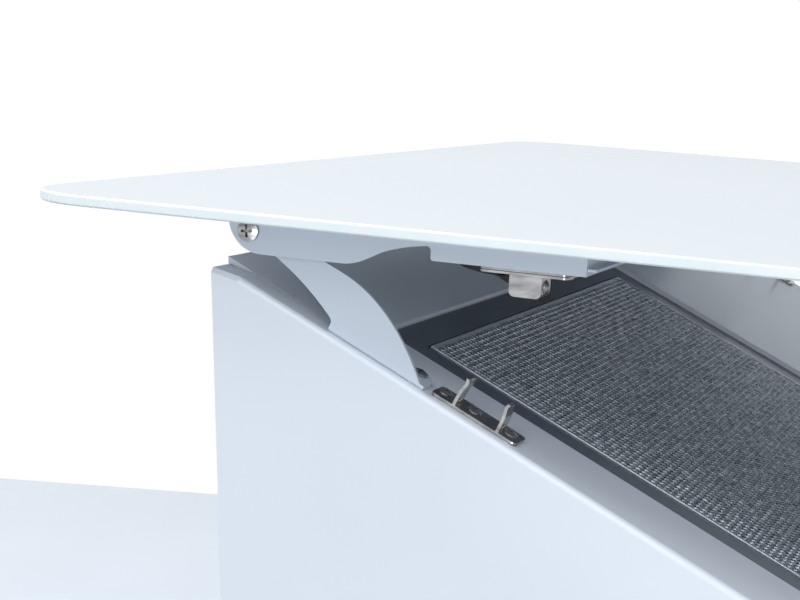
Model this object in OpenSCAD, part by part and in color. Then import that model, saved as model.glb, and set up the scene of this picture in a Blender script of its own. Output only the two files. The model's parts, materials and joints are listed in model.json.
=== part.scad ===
// Inclined wall range hood with a hinged glass front.
// Millimetres. Z is up, Y = 0 is the wall, the front faces -Y, X = 0 is the middle of the hood.
// The origin is the middle of the four wall holes. The glass panel stands open.

/* [Glass] */
// Width of both glass panels
glass_w = 600; // [560:5:640]
// Thickness of both glass panels
glass_t = 4; // [4:0.5:6]
// How far the panels reach over the body on each side
glass_over = 20; // [15:1:25]
// Height of the lower panel
low_glass_h = 73; // [66:1:80]
// How far the hinged panel rises above its hinge axis
glass_rise = 89; // [80:1:95]
// Gap between the hinged panel and the lower panel
glass_gap = 4; // [3:0.5:6]
// Radius of the outer glass corners
glass_corner_r = 30; // [10:1:40]
// Radius of the glass corners along the gap
gap_corner_r = 6; // [3:1:12]

/* [Body] */
// Depth of the body at its top
body_top_d = 385; // [375:1:400]
// Lean of the front face from vertical, in degrees
face_tilt = 29.2; // [28:0.1:30]
// Thickness of the steel sheet
sheet = 1; // [0.8:0.1:1.2]
// Outside radius of the folds
fold_r = 2.5; // [2:0.1:4]
// Height of the middle of the wall holes above the underside
mount_height = 220; // [200:1:240]
// Depth of the turned edges of the panels
skirt = 14; // [10:1:18]
// Length of the relief slits in the rim
slit_len = 31; // [24:1:36]
// Distance of the relief slits from the side
slit_in = 13; // [11:0.5:15]
// Width of the relief slits
slit_w = 0.8; // [0.6:0.1:1.2]
// Angle that the corners of the rim are bent in by, in degrees
corner_bend = 12; // [8:1:16]
// Radius of the round hole at the end of each slit
slit_end_r = 1.1; // [0.8:0.1:1.5]
// Length of the bent corners
corner_len = 13; // [10:1:18]

/* [Wall holes] */
// Distance between the wall holes across the hood
wall_hole_dx = 400; // [360:10:440]
// Distance between the wall holes up the hood
wall_hole_dz = 220; // [180:10:260]
// Diameter of the wall holes
wall_hole_d = 8; // [6:0.5:10]

/* [Hinge] */
// Distance of the rim behind the hinge axis
rim_drop = 17.2; // [16.5:0.1:18]
// Distance of the hinge axis below the top of the body
hinge_below_top = 16; // [15:0.5:18]
// Distance of the glass in front of the hinge axis
glass_ahead = 4.6; // [4.5:0.1:5.5]
// Angle that the glass panel stands open by
door_open = 24.4; // [5:0.1:45]
// Thickness of the hinge cheeks
cheek_t = 1.6; // [1.2:0.1:2]
// Depth of the hinge cheeks behind the axis
cheek_deep = 8.2; // [7.5:0.1:8.5]
// How far the hinge cheeks reach above the axis
cheek_end = 8.6; // [8:0.1:9.5]
// Radius of the round end of the hinge cheeks
cheek_end_r = 13.3; // [12:0.1:14]
// Thickness of the hinge arms
arm_t = 1.6; // [1.2:0.1:2]
// Gap between hinge cheek and hinge arm
arm_gap = 0.8; // [0.6:0.1:1.2]
// Start of the hinge arm's base, measured down the rim from the axis
arm_base_s = 43; // [41:0.5:45]
// Length of the hinge arm's base
arm_base_len = 40.5; // [38:0.5:43]
// Place down the rim where the hinge arm starts to bow towards the rim
arm_crest_s = 37.6; // [34:0.2:40]
// Diameter of the hinge screws
pivot_d = 4; // [3:0.5:5]
// Running clearance of the hinge screws, on the radius
pivot_clear = 0.06; // [0.04:0.01:0.09]

/* [Rail and catch] */
// Start of the rail, measured down the glass from the axis
rail_s = 70; // [68:0.5:72]
// Width of the rail
rail_w = 56; // [54:0.5:58]
// Depth of the rail behind the glass
rail_deep = 8.5; // [8:0.1:9]
// Middle of the catch, measured down the glass from the axis
catch_s = 103.4; // [102:0.1:105]
// Length of the catch box
catch_box_len = 11.6; // [11.2:0.1:12]
// Width of the catch box
catch_box_w = 10.5; // [10:0.1:12]
// Depth of the catch box behind its plate
catch_box_deep = 8; // [7.8:0.1:8.4]
// Length of the catch plate
catch_plate_len = 31.5; // [29:0.5:34]
// Thickness of the catch plate
catch_plate_t = 1.9; // [1.6:0.1:2.2]
// Radius of the catch balls
ball_r = 3; // [2.8:0.1:3.2]
// How far the catch balls stand out
ball_out = 1.4; // [1.2:0.1:1.6]
// Length of the strike plate
strike_len = 35.5; // [34:0.5:38]
// Width of the strike plate
strike_w = 12; // [11:0.5:13]
// Thickness of the strike plate
strike_t = 1.2; // [1:0.1:1.4]
// Height of the strike's prongs above the rim
prong_h = 10.8; // [10:0.1:11]
// Gap between the tips of the prongs
prong_gap = 15.2; // [15:0.1:15.8]

/* [Filter] */
// Width of the filter cassette
filter_w = 267.5; // [260:0.5:275]
// Height of the filter cassette
filter_h = 305.5; // [298:0.5:310]
// Thickness of the filter cassette
filter_t = 9; // [8:0.5:10]
// Distance of the filter's middle from the middle of the hood
filter_off = 90; // [85:1:95]
// Start of the filter, measured down the rim from the axis
filter_s = 64.7; // [63:0.1:67]
// Depth of the filter and its ledge below the rim
ledge_drop = 2; // [1.8:0.1:3]
// Width of the ledge beside the filter
ledge_side = 17.5; // [15:0.5:20]
// Width of the ledge above and below the filter
ledge_end = 14; // [10:0.5:16]
// How far the lower glass reaches over the filter's opening
seam_over = 8.2; // [4:0.1:12]
// Columns of openings in the filter mesh
mesh_cols = 14; // [10:1:16]
// Rows of openings in the filter mesh
mesh_rows = 20; // [14:1:24]
// Width of the metal between mesh openings
mesh_web = 3; // [2:0.5:5]

/* [Blower] */
// Radius of the impeller
impeller_r = 78; // [70:1:80]
// Width of the impeller
impeller_w = 84; // [76:1:86]
// Number of impeller blades
blade_count = 30; // [20:1:36]
// Width of the scroll housing, front to back
scroll_w = 104; // [100:1:106]
// Width of the scroll's outlet
outlet_w = 104; // [96:1:108]
// Radius of the scroll at its tongue
scroll_r = 92; // [88:1:96]
// Outside diameter of the duct collar
duct_d = 149.6; // [148:0.1:150]
// Height of the duct collar
duct_h = 45; // [40:1:60]
// Distance of the duct axis from the wall
duct_y = 95; // [92:1:98]
// Running clearance of shafts and pins, on the radius
run_clear = 0.06; // [0.04:0.01:0.09]

/* [Controls and lamps] */
// Distance between push-buttons
button_pitch = 26; // [24:1:28]
// Diameter of the push-buttons
button_d = 13; // [12:0.5:14]
// How far the push-buttons stand out of the glass
button_out = 2.2; // [2:0.1:2.6]
// Distance of the lamps from the middle
lamp_x = 170; // [140:5:200]
// Outside diameter of the lamp rings
lamp_d = 68; // [60:1:74]

/* [Chimney] */
// Width of the chimney
chimney_w = 300; // [280:2:320]
// Depth of the chimney
chimney_d = 191; // [185:1:200]
// Height of the lower chimney cover
chimney_low_h = 460; // [400:10:500]
// Height of the upper chimney cover
chimney_up_h = 480; // [480:10:520]
// Gap between the two chimney covers
chimney_gap = 0.5; // [0.4:0.1:1]

/* [Hidden] */
$fn = 48;
eps = 0.01;
screw_r = 1.6;
catch_screw_r = 1.25;
button_gap = 0.7;
button_count = 5;
white_paint = "#e4ecf4";
grey_paint = "#b4c0cc";
nickel = "#c4c2be";
plastic = "#202226";

body_w = glass_w - 2 * glass_over;
body_half = body_w / 2;
tan_t = tan(face_tilt);
cos_t = cos(face_tilt);
// The rim carries the hinged panel's filter, then the lower panel
open_s0 = filter_s - ledge_end;
open_s1 = filter_s + filter_h + ledge_end;
low_glass_s = open_s1 - seam_over;
door_glass_h = glass_rise + low_glass_s - glass_gap;
// Start and end of the face, measured down the rim from the hinge axis
face_s0 = (-hinge_below_top + rim_drop * sin(face_tilt)) / cos_t;
body_h = ceil((low_glass_s + low_glass_h - face_s0) * cos_t);
face_s1 = face_s0 + body_h / cos_t;
z_bot = -mount_height;
z_top = z_bot + body_h;
axis_z = z_top - hinge_below_top;
axis_y = -body_top_d - (rim_drop - hinge_below_top * sin(face_tilt)) / cos_t;
door_tilt = face_tilt - door_open;
// Glass and hinge parts, from the left
glass_half = glass_w / 2;
arm_x = body_half - cheek_t - arm_gap;
glass_h = rim_drop + glass_ahead;
rail_n = glass_ahead - rail_deep;
plate_x = body_half - 1.2;
box_x = body_half - 4.6;
ball_x = box_x - catch_box_w / 2;
ball_n = rail_n - catch_plate_t - catch_box_deep / 2 - 0.4;
ball_s = catch_box_len / 2 + ball_out - ball_r;
strike_mid = catch_s + 0.3;
filter_x = -filter_off;
filter_top = 0.6 - ledge_drop;
filter_bot = filter_top - filter_t;
open_w = filter_w + 2 * ledge_side;
open_h = open_s1 - open_s0;
open_mid = (open_s0 + open_s1) / 2;
opening_r = 1.6;
button_s = low_glass_s + low_glass_h / 2;
fan_x = -filter_off;
fan_z = z_top - impeller_r * 2.5 - 5;
scroll_y0 = -duct_y - scroll_w / 2;
scroll_y1 = -duct_y + scroll_w / 2;
duct_r = duct_d / 2;
duct_bore = duct_r - 1.8;
flap_z = z_top + 24;
flap_pin_x = 4;
flap_rise = 2.4;
flap_stop = 1.8;
flap_half = duct_bore - flap_stop - 1;
duct_flange = 12;
panel_hole_half = duct_r + duct_flange / 3;
pin_r = 1.2;
flap_pin_l = 14;

// Y of a plane at a depth below the rim, at height z
function face_y(z, depth) = -(body_top_d - (z_top - z) * tan_t) + depth / cos_t;
// Points of a shallow bow from p to q, with its rise at the middle
function bow(p, q, rise, n = 10) = let (v = q - p, u = [-v[1], v[0]] / norm(v))
    [for (i = [0:n]) let (t = i / n) p + v * t + u * 4 * rise * t * (1 - t)];
// Points of an arc
function arc(c, r, a0, a1, n = 12) = [for (i = [0:n]) let (a = a0 + (a1 - a0) * i / n)
    c + r * [cos(a), sin(a)]];

// Frame of the rim: x across, y up the face, z out of it
module on_face() translate([0, axis_y, axis_z]) rotate([90 + face_tilt, 0, 0])
    translate([0, 0, -rim_drop]) children();
// Frame of the glass panel: x across, y up the glass, z out of it, from the hinge axis
module on_door() translate([0, axis_y, axis_z]) rotate([90 + door_tilt, 0, 0]) children();
// Box from distances down a face and heights over it
module slab(x0, x1, s0, s1, h0, h1) translate([x0, -s1, h0]) cube([x1 - x0, s1 - s0, h1 - h0]);
// Side profile, drawn as distance down the face and height, standing at x
module profile(x, t) translate([x, 0, 0]) rotate([90, 0, 90]) linear_extrude(t) mirror([1, 0]) children();
module both_sides() { children(); mirror([1, 0, 0]) children(); }
module round_rect(w, h, r) {
    square([w - 2 * r, h], center = true);
    square([w, h - 2 * r], center = true);
    for (x = [-1, 1], y = [-1, 1]) translate([x * (w / 2 - r), y * (h / 2 - r)]) circle(r);
}
// What a round corner leaves out of a square one
module corner_cut(r) difference() {
    square(r + 1);
    circle(r);
}
// Glass pane with two corner radii
module pane(w, h, r_top, r_bot) difference() {
    square([w, h], center = true);
    for (end = [[r_top, 0], [r_bot, 1]], side = [0, 1]) mirror([0, end[1]]) mirror([side, 0])
        translate([w / 2 - end[0], h / 2 - end[0]]) corner_cut(end[0]);
}
// Prism with the body's side shape, set in from its front, sides, back
module wedge(front_in, half, z0, z1, back_in) translate([-half, 0, 0]) rotate([90, 0, 90])
    linear_extrude(2 * half) polygon([[-back_in, z0], [-back_in, z1],
        [face_y(z1, front_in), z1], [face_y(z0, front_in), z0]]);

// Body

module wrap_section() difference() {
    union() {
        translate([-body_half, -body_top_d]) square([body_w, body_top_d - fold_r]);
        translate([-body_half + fold_r, -body_top_d]) square([body_w - 2 * fold_r, body_top_d]);
        for (x = [-1, 1]) translate([x * (body_half - fold_r), -fold_r]) circle(fold_r);
    }
    translate([-body_half + sheet, -body_top_d - 1]) square([body_w - 2 * sheet, body_top_d + 1 - fold_r]);
    translate([-body_half + fold_r, -body_top_d - 1])
        square([body_w - 2 * fold_r, body_top_d + 1 - sheet]);
    for (x = [-1, 1]) translate([x * (body_half - fold_r), -fold_r]) circle(fold_r - sheet);
}
// Sides and rim, one sheet folded round the rim's edges
module wrap() translate([0, body_top_d, 0]) rotate([90, 0, 0])
    linear_extrude(face_s1 + 2 * body_top_d) wrap_section();
// What stands outside the rounded insides of the two folds
module outside_folds() on_face() both_sides() translate([-body_half, -face_s1 - body_top_d, -fold_r])
    rotate([-90, 0, 0]) linear_extrude(face_s1 + 2 * body_top_d) difference() {
        translate([-1, -fold_r - 1]) square(fold_r + 1);
        translate([fold_r, 0]) circle(fold_r - sheet - 0.05);
    }
corner_deep = corner_len * sin(corner_bend) + sheet + 0.6;
wall_deep = 12;
// Space of the corners, which are bent in about a line across the rim
module corner_space(x_in, s_over, deep) both_sides() slab(-body_half - 1, -body_half + slit_in + x_in,
    face_s0 - 20, face_s0 + corner_len + s_over, -deep, 1);
module bent_corners() intersection() {
    cut = 0.64 * fold_r;
    both_sides() translate([-body_half, -face_s0 - corner_len, 0]) rotate([-corner_bend, 0, 0])
        rotate([90, 0, 0]) translate([0, 0, -corner_len - 20]) linear_extrude(corner_len + 24)
            polygon([[0, -2 * wall_deep], [0, -cut], [cut, 0], [slit_in, 0], [slit_in, -sheet],
                [sheet + 1, -sheet], [sheet, -sheet - 1], [sheet, -2 * wall_deep]]);
    corner_space(0, 0, wall_deep + eps);
}
module body_wrap() color(white_paint) intersection() {
    wedge(-4, body_half, z_bot, z_top, 0);
    on_face() {
        difference() {
            wrap();
            corner_space(slit_w, 0, wall_deep);
            both_sides() {
                slab(-body_half + slit_in, -body_half + slit_in + slit_w, face_s0, face_s0 + slit_len,
                    -sheet - 1, 1);
                translate([-body_half + slit_in + slit_w / 2, -face_s0 - slit_len, -sheet - 1])
                    cylinder(r = slit_end_r, h = sheet + 2);
            }
            slab(filter_x - open_w / 2, filter_x + open_w / 2, open_s0, open_s1, -sheet - 1, 1);
            opening_folds();
            strike_holes(screw_r + 0.05);
            arm_holes(screw_r + 0.05);
        }
        bent_corners();
        difference() {
            slab(filter_x - open_w / 2 - sheet, filter_x + open_w / 2 + sheet,
                open_s0 - sheet, open_s1 + sheet, -ledge_drop, -sheet / 2);
            slab(filter_x - open_w / 2, filter_x + open_w / 2, open_s0, open_s1, -ledge_drop - 1, 0);
            opening_folds();
        }
    }
}
// Edge of the filter's opening, rounded where it is folded down
module opening_folds() {
    module across(ext) for (m = [0, 1]) translate([filter_x - open_w / 2 - ext, -open_mid, -opening_r])
        mirror([0, m, 0]) translate([0, open_h / 2 + opening_r, 0]) rotate([90, 0, 90])
            linear_extrude(open_w + 2 * ext) mirror([1, 0]) corner_cut(opening_r);
    module along(ext) for (m = [0, 1]) translate([filter_x, -open_mid + open_h / 2 + ext, -opening_r])
        mirror([m, 0, 0]) translate([open_w / 2 + opening_r, 0, 0]) rotate([90, 0, 0])
            linear_extrude(open_h + 2 * ext) mirror([1, 0]) corner_cut(opening_r);
    across(0);
    along(0);
    intersection() { across(opening_r); along(opening_r); }
}
module top_panel() color(white_paint) difference() {
    wedge(sheet, body_half - sheet, z_top - skirt, z_top, sheet);
    wedge(2 * sheet, body_half - 2 * sheet, z_top - skirt - 1, z_top - sheet, 2 * sheet);
    outside_folds();
    on_face() corner_space(slit_w, 1, corner_deep);
    translate([0, -duct_y, z_top]) cube([2 * panel_hole_half, 2 * panel_hole_half, 10], center = true);
    translate([gland_x, -gland_y, z_top - 5]) cylinder(r = gland_r + 0.1, h = 10);
}
module back_panel() color(white_paint) difference() {
    union() {
        translate([-body_half + sheet, -sheet, z_bot]) cube([body_w - 2 * sheet, sheet, body_h]);
        both_sides() translate([-body_half + sheet, -skirt, z_bot + skirt + 1])
            cube([sheet, skirt, body_h - 2 * skirt - 2]);
    }
    for (x = [-1, 1], z = [-1, 1]) translate([x * wall_hole_dx / 2, 1, z * wall_hole_dz / 2])
        rotate([90, 0, 0]) cylinder(d = wall_hole_d, h = 2 + sheet);
}
module bottom_panel() color(white_paint) difference() {
    wedge(sheet, body_half - sheet, z_bot, z_bot + skirt, sheet);
    wedge(2 * sheet, body_half - 2 * sheet, z_bot + sheet, z_bot + skirt + 1, 2 * sheet);
    outside_folds();
    for (x = [-1, 1]) translate([x * lamp_x, lamp_y, z_bot - 1]) cylinder(r = lamp_barrel_r + 0.1, h = 4);
}

// Grease filter

seat_wall = 1.2;
seat_clear = 1;
seat_lip = 7;
seat_flange = 10;
module filter_seat() color("#3a434d") on_face() difference() {
    union() {
        slab(filter_x - open_w / 2 - seat_flange, filter_x + open_w / 2 + seat_flange,
            open_s0 - seat_flange, open_s1 + seat_flange, -ledge_drop - seat_wall, -ledge_drop);
        filter_block(-seat_clear - seat_wall, filter_bot - seat_wall, -ledge_drop);
    }
    filter_block(-seat_clear, filter_bot, 1);
    filter_block(seat_lip, filter_bot - seat_wall - 1, 1);
    latch_slot();
}
latch_w = 20;
latch_t = 2.4;
latch_clear = 0.4;
latch_h = filter_top - 5.4;
pocket_w = 52;
pocket_h = 15;
pocket_rim = 1.5;
module latch_slot() slab(filter_x - latch_w / 2 - latch_clear, filter_x + latch_w / 2 + latch_clear,
    filter_s + filter_h - 8, filter_s + filter_h + seat_clear + seat_wall + 2,
    latch_h - latch_clear, latch_h + latch_t + latch_clear);
frame_wall = 1.2;
frame_lip = 6;
mesh_t = 0.8;
module filter_block(inset, h0, h1) slab(filter_x - filter_w / 2 + inset, filter_x + filter_w / 2 - inset,
    filter_s + inset, filter_s + filter_h - inset, h0, h1);
module filter_frame() color("#9aa3ab") on_face() difference() {
    filter_block(0, filter_bot, filter_top);
    filter_block(frame_wall, filter_top - mesh_t, filter_top + 1);
    filter_block(frame_wall, filter_bot + mesh_t, filter_top - 2 * mesh_t);
    filter_block(frame_lip, filter_bot - 1, filter_top + 1);
    latch_slot();
}
// Diamond openings in staggered rows over a w by h plate
module diamonds(w, h, cols, rows) {
    px = w / cols;
    py = h / rows;
    dx = px - mesh_web * 1.2;
    dy = py * 2 - mesh_web * 2;
    for (j = [0:rows - 2], i = [0:cols - 1 - j % 2])
        translate([-w / 2 + px * (i + 0.5 + (j % 2) / 2), -h / 2 + py * (j + 1)])
            polygon([[-dx / 2, 0], [0, -dy / 2], [dx / 2, 0], [0, dy / 2]]);
}
module mesh_sheet(inset, h0, cols, rows) on_face()
    translate([filter_x, -filter_s - filter_h / 2, h0]) linear_extrude(mesh_t) difference() {
        w = filter_w - 2 * inset;
        h = filter_h - 2 * inset;
        square([w, h], center = true);
        difference() {
            diamonds(w - 14, h - 14, cols, rows);
            translate([0, -h / 2 + pocket_h]) square([pocket_w + 20, 2 * pocket_h], center = true);
        }
    }
module filter_mesh_front() color("#8b939b") difference() {
    mesh_sheet(frame_wall + 0.05, filter_top - mesh_t, mesh_cols, mesh_rows);
    on_face() pocket(pocket_rim, filter_top - 2, filter_top + 1);
}
module filter_mesh_back() color("#7b838b")
    mesh_sheet(frame_wall + 0.05, filter_bot + mesh_t, mesh_cols - 1, mesh_rows - 2);
latch_s = filter_s + filter_h - frame_lip - pocket_rim - pocket_h / 2;
module pocket(out, h0, h1) slab(filter_x - pocket_w / 2 - out, filter_x + pocket_w / 2 + out,
    latch_s - pocket_h / 2 - out, latch_s + pocket_h / 2 + out, h0, h1);
module filter_latch_plate() color("#9aa3ab") on_face() difference() {
    pocket(pocket_rim, latch_h - 0.6, filter_top);
    pocket(0, latch_h + latch_t + latch_clear / 2, filter_top + 1);
    slab(filter_x - latch_w / 2 - latch_clear, filter_x + latch_w / 2 + latch_clear,
        latch_s - pocket_h / 2, latch_s + pocket_h, latch_h, latch_h + latch_t + 1);
}
module filter_latch() color(plastic) on_face() {
    slab(filter_x - latch_w / 2, filter_x + latch_w / 2, latch_s - 1, filter_s + filter_h + seat_clear + 1.6,
        latch_h + 0.1, latch_h + latch_t);
    slab(filter_x - latch_w / 2, filter_x + latch_w / 2, latch_s - 1, latch_s + 7,
        latch_h + latch_t - eps, filter_top - 1);
    for (i = [0:2]) slab(filter_x - latch_w / 2 + 2, filter_x + latch_w / 2 - 2,
        latch_s + 0.6 + 2.2 * i, latch_s + 1.6 + 2.2 * i, filter_top - 1 - eps, filter_top - 0.4);
}

// Blower

scroll_wall = 2;
outlet_x = outlet_w / 2;
outlet_flange_t = 2.5;
scroll_end_r = outlet_x - fan_x;
// Spiral from the tongue, round the left side, to the vertical outer wall
function spiral(cut, n = 44) = let (a0 = acos((-outlet_x - fan_x + cut) / (scroll_r - cut)))
    [for (i = [0:n]) let (a = a0 + (360 - a0) * i / n, r = scroll_r + (scroll_end_r - scroll_r) * i / n - cut)
        [r * cos(a), r * sin(a)]];
module scroll_outline(cut, top) polygon(concat(spiral(cut),
    [[scroll_end_r - cut, top], [-outlet_x - fan_x + cut, top]]));
module scroll_housing() color("#4a4f55") difference() {
    union() {
        translate([fan_x, scroll_y1, fan_z]) rotate([90, 0, 0]) linear_extrude(scroll_w)
            scroll_outline(0, z_top - sheet - fan_z);
        translate([0, -duct_y, z_top - sheet - outlet_flange_t])
            cylinder(r = duct_r + duct_flange, h = outlet_flange_t, $fn = 96);
    }
    translate([fan_x, scroll_y1 - scroll_wall, fan_z]) rotate([90, 0, 0])
        linear_extrude(scroll_w - 2 * scroll_wall) scroll_outline(scroll_wall, z_top - fan_z + 1);
    fan_hole(ring_r, scroll_y0 - 1, scroll_y0 + scroll_wall + 1);
    fan_hole(motor_nose_r - 6, scroll_y1 - scroll_wall - 1, scroll_y1 + 1);
}
module fan_hole(r, y0, y1) translate([fan_x, y1, fan_z]) rotate([90, 0, 0]) cylinder(r = r, h = y1 - y0);
module fan_turn(y) translate([fan_x, y, fan_z]) rotate([90, 0, 0]) children();
ring_r = impeller_r - 8;
mouth_r = 8;
mouth_t = 2;
// Flange with a bell mouth that narrows towards the impeller
module inlet_ring() color("#30343a") fan_turn(scroll_y0) rotate_extrude($fn = 96) {
    translate([ring_r, 0]) square([12, mouth_t]);
    translate([ring_r, mouth_t - mouth_r]) intersection() {
        difference() {
            circle(mouth_r);
            circle(mouth_r - mouth_t);
        }
        translate([-mouth_r - 1, 0]) square(mouth_r + 1);
    }
}
guard_step = 15;
guard_bar = 2.4;
// Bars that stand across the inlet, each with both ends on the flange
module inlet_guard() color("#30343a") fan_turn(scroll_y0 - mouth_t)
    for (x = [-4 * guard_step:guard_step:4 * guard_step]) let (half = sqrt(pow(ring_r + 6, 2) - x * x))
        translate([x - guard_bar / 2, -half, 0]) cube([guard_bar, 2 * half, guard_bar]);
imp_y1 = scroll_y1 - 9;
imp_y0 = imp_y1 - impeller_w;
disc_t = 2;
hub_r = 16;
hub_len = 26;
rim_band = 4;
blade_root = impeller_r - 16;
shaft_r = 4;
module blade() intersection() {
    translate([impeller_r - 8, -11]) difference() { circle(14); circle(13); }
    difference() { circle(impeller_r - 0.6); circle(blade_root + 0.6); }
    translate([0, -2]) square([impeller_r, 14]);
}
module impeller() color("#3c4046") fan_turn(imp_y1) {
    difference() {
        union() {
            cylinder(r = impeller_r, h = disc_t);
            cylinder(r = hub_r, h = hub_len);
        }
        translate([0, 0, -1]) cylinder(r = shaft_r + 0.02, h = 40);
    }
}
module impeller_blades() color("#3c4046") fan_turn(imp_y1 - disc_t)
    for (i = [0:blade_count - 1]) rotate([0, 0, 360 / blade_count * i])
        linear_extrude(impeller_w - disc_t - rim_band) blade();
module impeller_ring() color("#3c4046") fan_turn(imp_y1 - impeller_w + rim_band) difference() {
    cylinder(r = impeller_r, h = rim_band);
    translate([0, 0, -1]) cylinder(r = blade_root, h = rim_band + 2);
}
motor_y0 = scroll_y1;
motor_len = 36;
motor_r = 46;
motor_nose_r = 30;
motor_nose = 3;
module motor_shaft() color("silver") fan_turn(motor_y0 + 20) cylinder(r = shaft_r, h = 20 + 9 + 28);
module motor() color("#8d949b") difference() {
    fan_turn(motor_y0 + motor_len) {
        cylinder(r = motor_r, h = motor_len - motor_nose);
        translate([0, 0, motor_len - motor_nose]) cylinder(r = motor_nose_r, h = motor_nose);
        for (a = [45:90:315]) rotate([0, 0, a]) translate([motor_r, 0, motor_len - 10])
            cylinder(r = 7, h = 6);
    }
    fan_turn(motor_y0 + 22) cylinder(r = shaft_r + run_clear, h = 30);
}
module motor_bracket() color("#9aa3ab") fan_turn(-sheet) difference() {
    union() {
        cylinder(r = 20, h = -sheet - motor_y0 - motor_len);
        for (a = [45:90:315]) rotate([0, 0, a]) translate([0, -8, 0]) cube([motor_r + 32, 16, 2]);
    }
    translate([0, 0, -1]) cylinder(r = 5, h = 20);
}
// Collar with a square flange, a shelf under the flaps and the pin ends that they turn on
module duct_collar() color("#3a3e44") translate([0, -duct_y, z_top]) {
    difference() {
        union() {
            cylinder(r = duct_r, h = duct_h, $fn = 96);
            linear_extrude(2) round_rect(2 * (duct_r + duct_flange), 2 * (duct_r + duct_flange), 6);
        }
        translate([0, 0, -1]) cylinder(r = duct_bore - flap_stop, h = duct_h + 2, $fn = 96);
        translate([0, 0, flap_z - z_top - 1.2]) cylinder(r = duct_bore, h = duct_h, $fn = 96);
    }
    for (x = [-1, 1], end = [-1, 1])
        translate([x * flap_pin_x, end * (duct_bore + 0.5 - flap_pin_l / 2), flap_z - z_top + flap_rise])
            rotate([90, 0, 0]) cylinder(r = pin_r, h = flap_pin_l, center = true);
}
knuckle_r = 2.4;
module left_flap() color(plastic) difference() {
    union() {
        translate([0, -duct_y, flap_z - 1.2]) intersection() {
            cylinder(r = duct_bore - 0.8, h = 1.5, $fn = 96);
            translate([-duct_r, -flap_half, 0]) cube([duct_r - 0.5, 2 * flap_half, 2]);
        }
        translate([-flap_pin_x, -duct_y + flap_half, flap_z + flap_rise]) rotate([90, 0, 0])
            cylinder(r = knuckle_r, h = 2 * flap_half);
    }
    translate([-flap_pin_x, 0, flap_z + flap_rise]) rotate([90, 0, 0])
        cylinder(r = pin_r + run_clear, h = 3 * duct_y);
}
module right_flap() mirror([1, 0, 0]) left_flap();
gland_x = 115;
gland_y = 40;
gland_r = 8;
module cable_gland() color(plastic) translate([gland_x, -gland_y, z_top]) {
    difference() {
        union() {
            translate([0, 0, -12]) cylinder(r = gland_r, h = 14);
            cylinder(r = 12, h = 5, $fn = 6);
            translate([0, 0, 5]) cylinder(r1 = 10, r2 = 7, h = 12);
        }
        translate([0, 0, -13]) cylinder(r = 4, h = 40);
    }
    translate([0, 0, -6]) difference() {
        cylinder(r = 12, h = 5, $fn = 6);
        translate([0, 0, -1]) cylinder(r = gland_r - eps, h = 8);
    }
}
control = [120, 45, 110];
control_seam = 1;
// Closed box with a seam round its lid and a cable entry on top
module control_box() color("#c9ced3") translate([gland_x - 5, -sheet - control[1], -70]) difference() {
    cube(control);
    translate([0, 0, control[2] - 20]) difference() {
        translate([-1, -1, 0]) cube([control[0] + 2, control[1] + 2, control_seam]);
        translate([control_seam, control_seam, -1])
            cube([control[0] - 2 * control_seam, control[1] + 2, control_seam + 2]);
    }
    translate([control[0] / 2, control[1] / 2, control[2] - 5]) cylinder(r = 7, h = 6);
}

// Hinge, fixed side

arm_tip_r = 4.2;
module arm_outline() {
    top = rim_drop + arm_tip_r;
    s1 = arm_base_s + arm_base_len;
    crest = arm_crest_s;
    polygon(concat([for (i = [16:-1:0]) let (u = i / 16) [crest + (s1 - crest) * u, top * (1 - u * u)]],
        arc([0, rim_drop], arm_tip_r, 90, 235),
        bow([12.8, rim_drop - 3.9], [arm_base_s - 1.5, rim_drop - 12.6], 1.1),
        [[arm_base_s - 0.7, 3.5], [arm_base_s - 0.6, 1], [arm_base_s, 0]]));
}
arm_bend_r = 1.2;
foot_w = 14;
foot_hole_s = [arm_base_s + 12, arm_base_s + arm_base_len - 6];
foot_hole_x = arm_x - arm_t - 8;
module arm_holes(r) both_sides() for (s = foot_hole_s)
    translate([-foot_hole_x, -s, -8]) cylinder(r = r, h = 20);
module left_hinge_arm() color(grey_paint) on_face() difference() {
    union() {
        profile(-arm_x, arm_t) arm_outline();
        linear_extrude(arm_t) {
            translate([-arm_x, -arm_base_s - arm_base_len + foot_w / 2])
                square([foot_w, arm_base_len - foot_w]);
            translate([-arm_x, -arm_base_s - arm_base_len]) square([foot_w / 2, foot_w]);
            translate([-arm_x + foot_w / 2, -arm_base_s - arm_base_len + foot_w / 2]) circle(foot_w / 2);
        }
    }
    translate([-arm_x + arm_bend_r, 0, arm_bend_r]) rotate([90, 0, 0]) linear_extrude(face_s1)
        rotate(180) corner_cut(arm_bend_r);
    translate([-arm_x - 1, 0, rim_drop]) rotate([0, 90, 0]) cylinder(r = pivot_d / 2 + 0.05, h = 5);
    arm_holes(screw_r + 0.05);
}
module right_hinge_arm() mirror([1, 0, 0]) left_hinge_arm();
module cross_recess(d) for (a = [0, 90]) rotate([0, 0, a])
    translate([-d / 2, -d * 0.11, 0]) cube([d, d * 0.22, d]);
// Pan head screw pointing down, its seat at z = 0
module pan_screw(r, head_r, head_h, len) {
    difference() {
        intersection() {
            cylinder(r = head_r, h = head_h);
            translate([0, 0, head_h - 2.2 * head_r]) sphere(2.2 * head_r);
        }
        translate([0, 0, head_h * 0.45]) cross_recess(head_r * 1.15);
    }
    translate([0, 0, -len]) cylinder(r = r, h = len + eps);
}
module pivot_screws() color(nickel) both_sides() translate([-body_half - 0.2, axis_y, axis_z])
    rotate([0, -90, 0]) pan_screw(pivot_d / 2, 4, 2.4, cheek_t + arm_gap + arm_t + 4.2);
module pivot_nuts() color(nickel) both_sides() translate([-arm_x + arm_t, axis_y, axis_z])
    rotate([face_tilt, 0, 0]) rotate([0, 90, 0]) difference() {
        cylinder(r = 4.04, h = 3.2, $fn = 6);
        translate([0, 0, -1]) cylinder(r = pivot_d / 2 + 0.05, h = 6);
    }
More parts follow.
